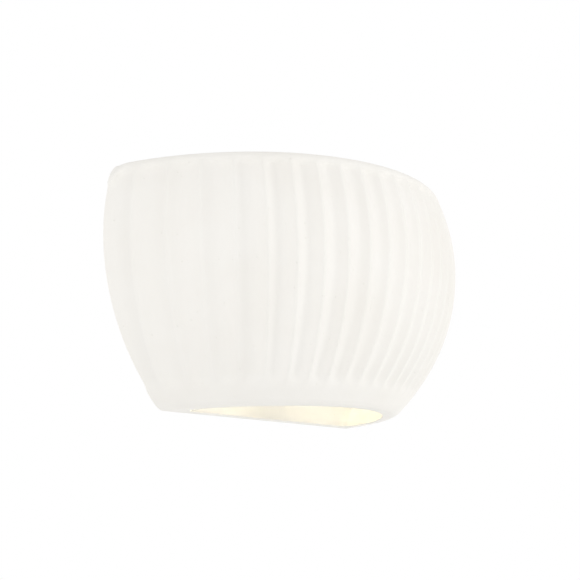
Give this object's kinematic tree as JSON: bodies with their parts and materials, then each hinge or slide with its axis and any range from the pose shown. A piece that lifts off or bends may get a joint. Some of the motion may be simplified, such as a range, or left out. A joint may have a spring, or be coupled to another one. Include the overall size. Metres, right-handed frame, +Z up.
{
  "type": "wall lamp",
  "caption": "Up-and-down wall light: thick half-round plaster bowl with soft upright flutes, open top and bottom, on a steel strap, with a capsule bulb in a ceramic holder inside.",
  "frame": {"origin": "on the wall, midway between the two wall-screw slots of the strap", "axes": "+X to the right along the wall, +Y into the wall, +Z up"},
  "size_m": [0.2976, 0.1308, 0.145],
  "materials": {
    "plaster": "matt white plaster",
    "white_steel": "white powder coat",
    "zinc_steel": "bright zinc plate",
    "brass": "turned",
    "tinned_brass": "tinned",
    "nickel_wire": "drawn wire",
    "black_rubber": "matt",
    "terminal_plastic": "milky moulded plastic",
    "brown_silicone": "satin",
    "blue_silicone": "satin",
    "green_silicone": "satin",
    "white_ceramic": "unglazed",
    "bulb_plastic": "moulded",
    "bulb_glass": "clear",
    "led_phosphor": "warm phosphor"
  },
  "bodies": {
    "lamp": {"shade": "plaster", "wall_bracket": "zinc_steel", "bracket_studs": "zinc_steel", "flange_pads": "black_rubber", "gear_cover": "white_steel", "terminal_body": "terminal_plastic", "terminal_inserts": "brass", "terminal_screws": "zinc_steel", "terminal_fixing_screw": "zinc_steel", "earth_screw": "brass", "earth_washer": "zinc_steel", "earth_ring": "tinned_brass", "wire_bush": "black_rubber", "wire_live": "brown_silicone", "wire_neutral": "blue_silicone", "wire_earth": "green_silicone", "holder_arm": "white_steel", "arm_rivets": "zinc_steel", "holder_body": "white_ceramic", "holder_contacts": "tinned_brass", "holder_screws": "zinc_steel", "holder_nuts": "zinc_steel"},
    "washer_left": {"washer_left": "zinc_steel"},
    "nut_left": {"nut_left": "brass"},
    "washer_right": {"washer_right": "zinc_steel"},
    "nut_right": {"nut_right": "brass"},
    "bulb": {"bulb_base": "bulb_plastic", "bulb_pins": "nickel_wire", "bulb_glass": "bulb_glass", "led_core": "white_ceramic", "led_strips": "led_phosphor"}
  },
  "joints": [
    {"name": "bulb_pull", "type": "slide", "parent": "lamp", "child": "bulb", "axis": [0, 0, 1], "range_m": [0, 0.016]},
    {"name": "nut_left_travel", "type": "slide", "parent": "lamp", "child": "washer_left", "axis": [0, -1, 0], "range_m": [0, 0.01]},
    {"name": "nut_left_turn", "type": "hinge", "parent": "washer_left", "child": "nut_left", "pos_m": [-0.057, -0.013, 0], "axis": [0, -1, 0], "range_deg": [0, 5140]},
    {"name": "nut_right_travel", "type": "slide", "parent": "lamp", "child": "washer_right", "axis": [0, -1, 0], "range_m": [0, 0.01]},
    {"name": "nut_right_turn", "type": "hinge", "parent": "washer_right", "child": "nut_right", "pos_m": [0.057, -0.013, 0], "axis": [0, -1, 0], "range_deg": [0, 5140]}
  ],
  "couplings": [
    {"joint": "nut_left_travel", "follows": "nut_left_turn", "m_per_rad": 0.00011141},
    {"joint": "nut_right_travel", "follows": "nut_right_turn", "m_per_rad": 0.00011141}
  ]
}
